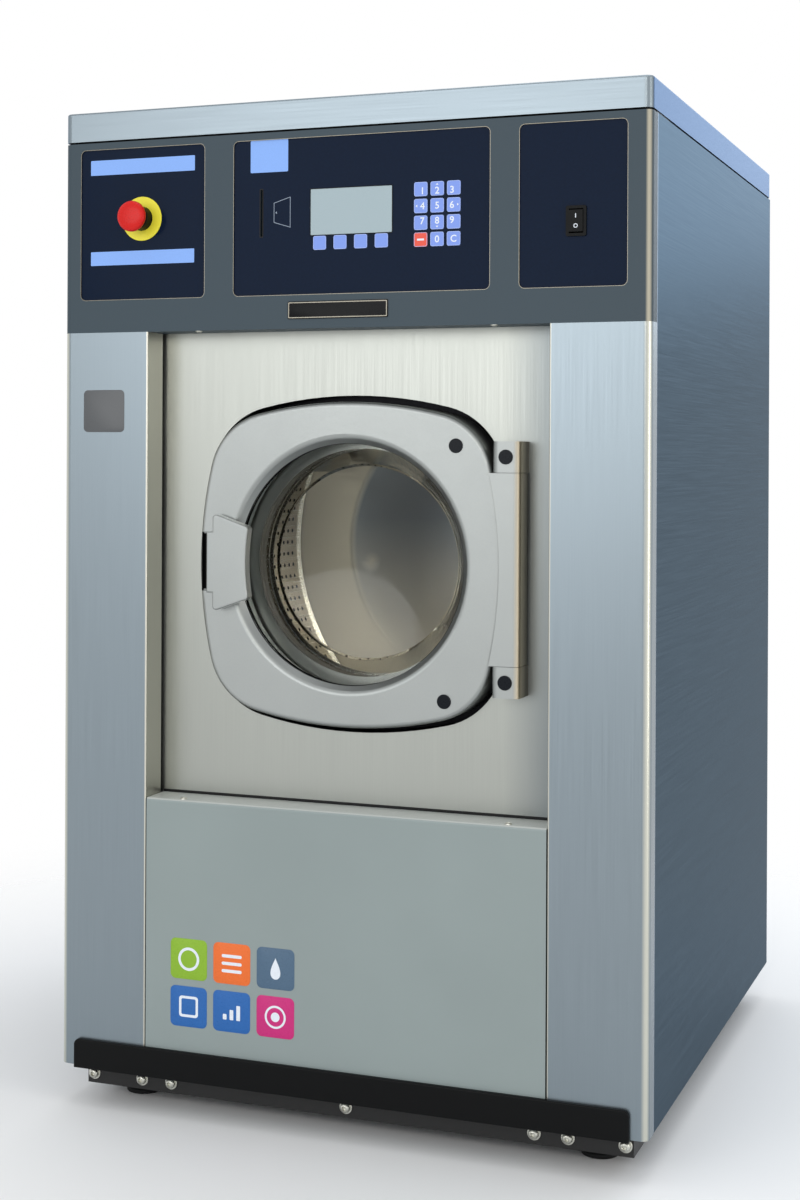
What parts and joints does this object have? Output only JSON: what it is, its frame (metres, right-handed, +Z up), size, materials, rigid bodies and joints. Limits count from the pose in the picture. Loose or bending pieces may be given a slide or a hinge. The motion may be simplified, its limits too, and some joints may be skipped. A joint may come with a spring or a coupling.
{
  "type": "washer-extractor",
  "caption": "Front-loading laundry machine in a steel cabinet, with a hinged round-cornered door, a sprung tub, a belt-driven drum and a keypad fascia.",
  "frame": {"origin": "On the floor under the middle of the machine's bounding box", "axes": "X to the right as seen from the front, Y to the back, Z up; the door faces -Y"},
  "size_m": [0.788, 0.902, 1.302],
  "materials": {
    "cabinet_steel": "brushed",
    "lower_panel_paint": "satin",
    "frame_paint": "satin",
    "black_plastic": "matte",
    "zinc_steel": "plated",
    "fascia_plastic": "fine matte",
    "window_film": "gloss",
    "display_screen": "gloss",
    "key_blue": "matte",
    "key_red": "matte",
    "stop_red": "gloss",
    "stop_yellow": "matte",
    "door_casting": "satin",
    "handle_metal": "satin",
    "clear_glass": "clear",
    "black_rubber": "matte",
    "drum_steel": "satin",
    "cast_iron": "as cast",
    "motor_paint": "satin"
  },
  "bodies": {
    "cabinet": {"base_frame": "frame_paint", "levelling_feet": "zinc_steel", "left_side_panel": "cabinet_steel", "right_side_panel": "cabinet_steel", "rear_panel": "cabinet_steel", "rear_cover": "cabinet_steel", "top_cover": "cabinet_steel", "left_front_column": "cabinet_steel", "right_front_column": "cabinet_steel", "front_panel": "cabinet_steel", "lower_front_panel": "lower_panel_paint", "kick_bar": "black_plastic", "base_bolts": "zinc_steel", "panel_screws": "zinc_steel", "control_fascia": "fascia_plastic", "window_overlays": "window_film", "display_glass": "display_screen", "stop_button_collar": "stop_yellow", "switch_bezel": "black_plastic", "control_box": "frame_paint", "hinge_brackets": "door_casting", "bracket_plugs": "black_plastic", "door_lock": "black_plastic", "door_bellows": "black_rubber", "suspension_springs": "zinc_steel", "damper_cylinders": "zinc_steel", "rear_fittings": "black_plastic", "drain_valve": "black_plastic"},
    "door": {"door_frame": "door_casting", "door_glass": "clear_glass", "glass_gasket": "black_rubber", "hinge_arm": "door_casting", "door_plugs": "black_plastic"},
    "handle": {"door_handle": "handle_metal"},
    "stop": {"stop_button": "stop_red"},
    "rocker": {"power_rocker": "black_plastic"},
    "tub": {"tub": "drum_steel", "bearing_housing": "cast_iron", "motor": "motor_paint", "damper_rods": "zinc_steel", "drive_belt": "black_rubber"},
    "drum": {"drum": "drum_steel", "drum_shaft": "cast_iron"},
    "rotor": {"motor_pulley": "cast_iron"},
    "key_1_body": {"key_1": "key_blue"},
    "key_2_body": {"key_2": "key_blue"},
    "key_3_body": {"key_3": "key_blue"},
    "key_4_body": {"key_4": "key_blue"},
    "key_5_body": {"key_5": "key_blue"},
    "key_6_body": {"key_6": "key_blue"},
    "key_7_body": {"key_7": "key_blue"},
    "key_8_body": {"key_8": "key_blue"},
    "key_9_body": {"key_9": "key_blue"},
    "key_0_body": {"key_0": "key_blue"},
    "key_clear_body": {"key_clear": "key_blue"},
    "key_stop_body": {"key_stop": "key_red"},
    "soft_key_1_body": {"soft_key_1": "key_blue"},
    "soft_key_2_body": {"soft_key_2": "key_blue"},
    "soft_key_3_body": {"soft_key_3": "key_blue"},
    "soft_key_4_body": {"soft_key_4": "key_blue"}
  },
  "joints": [
    {"name": "door_swing", "type": "hinge", "parent": "cabinet", "child": "door", "pos_m": [0.217, -0.394, 0.7165], "axis": [0, 0, 1], "range_deg": [0, 115]},
    {"name": "handle_pull", "type": "hinge", "parent": "door", "child": "handle", "pos_m": [-0.1815, -0.384, 0.7165], "axis": [0, 0, 1], "range_deg": [-15, 0], "stiffness_Nm_per_rad": 3, "springref_deg": 5.73},
    {"name": "tub_float", "type": "slide", "parent": "cabinet", "child": "tub", "axis": [0, 0, 1], "range_m": [-0.01, 0.01], "stiffness_N_per_m": 60000, "springref_m": 0.018, "deforming": ["suspension_springs", "door_bellows"]},
    {"name": "drum_spin", "type": "hinge", "parent": "tub", "child": "drum", "pos_m": [0, 0, 0.7165], "axis": [0, 1, 0], "continuous": true},
    {"name": "motor_spin", "type": "hinge", "parent": "tub", "child": "rotor", "pos_m": [0.13, 0, 0.2865], "axis": [0, 1, 0], "continuous": true},
    {"name": "stop_press", "type": "slide", "parent": "cabinet", "child": "stop", "axis": [0, 1, 0], "range_m": [0, 0.005], "stiffness_N_per_m": 1500},
    {"name": "power_rock", "type": "hinge", "parent": "cabinet", "child": "rocker", "pos_m": [0.302, -0.4105, 1.134], "axis": [1, 0, 0], "range_deg": [-8, 8]},
    {"name": "key_1_press", "type": "slide", "parent": "cabinet", "child": "key_1_body", "axis": [0, 1, 0], "range_m": [0, 0.0005], "stiffness_N_per_m": 1200},
    {"name": "key_2_press", "type": "slide", "parent": "cabinet", "child": "key_2_body", "axis": [0, 1, 0], "range_m": [0, 0.0005], "stiffness_N_per_m": 1200},
    {"name": "key_3_press", "type": "slide", "parent": "cabinet", "child": "key_3_body", "axis": [0, 1, 0], "range_m": [0, 0.0005], "stiffness_N_per_m": 1200},
    {"name": "key_4_press", "type": "slide", "parent": "cabinet", "child": "key_4_body", "axis": [0, 1, 0], "range_m": [0, 0.0005], "stiffness_N_per_m": 1200},
    {"name": "key_5_press", "type": "slide", "parent": "cabinet", "child": "key_5_body", "axis": [0, 1, 0], "range_m": [0, 0.0005], "stiffness_N_per_m": 1200},
    {"name": "key_6_press", "type": "slide", "parent": "cabinet", "child": "key_6_body", "axis": [0, 1, 0], "range_m": [0, 0.0005], "stiffness_N_per_m": 1200},
    {"name": "key_7_press", "type": "slide", "parent": "cabinet", "child": "key_7_body", "axis": [0, 1, 0], "range_m": [0, 0.0005], "stiffness_N_per_m": 1200},
    {"name": "key_8_press", "type": "slide", "parent": "cabinet", "child": "key_8_body", "axis": [0, 1, 0], "range_m": [0, 0.0005], "stiffness_N_per_m": 1200},
    {"name": "key_9_press", "type": "slide", "parent": "cabinet", "child": "key_9_body", "axis": [0, 1, 0], "range_m": [0, 0.0005], "stiffness_N_per_m": 1200},
    {"name": "key_0_press", "type": "slide", "parent": "cabinet", "child": "key_0_body", "axis": [0, 1, 0], "range_m": [0, 0.0005], "stiffness_N_per_m": 1200},
    {"name": "key_clear_press", "type": "slide", "parent": "cabinet", "child": "key_clear_body", "axis": [0, 1, 0], "range_m": [0, 0.0005], "stiffness_N_per_m": 1200},
    {"name": "key_stop_press", "type": "slide", "parent": "cabinet", "child": "key_stop_body", "axis": [0, 1, 0], "range_m": [0, 0.0005], "stiffness_N_per_m": 1200},
    {"name": "soft_key_1_press", "type": "slide", "parent": "cabinet", "child": "soft_key_1_body", "axis": [0, 1, 0], "range_m": [0, 0.0005], "stiffness_N_per_m": 1200},
    {"name": "soft_key_2_press", "type": "slide", "parent": "cabinet", "child": "soft_key_2_body", "axis": [0, 1, 0], "range_m": [0, 0.0005], "stiffness_N_per_m": 1200},
    {"name": "soft_key_3_press", "type": "slide", "parent": "cabinet", "child": "soft_key_3_body", "axis": [0, 1, 0], "range_m": [0, 0.0005], "stiffness_N_per_m": 1200},
    {"name": "soft_key_4_press", "type": "slide", "parent": "cabinet", "child": "soft_key_4_body", "axis": [0, 1, 0], "range_m": [0, 0.0005], "stiffness_N_per_m": 1200}
  ],
  "couplings": [
    {"joint": "motor_spin", "follows": "drum_spin", "ratio": 5}
  ]
}
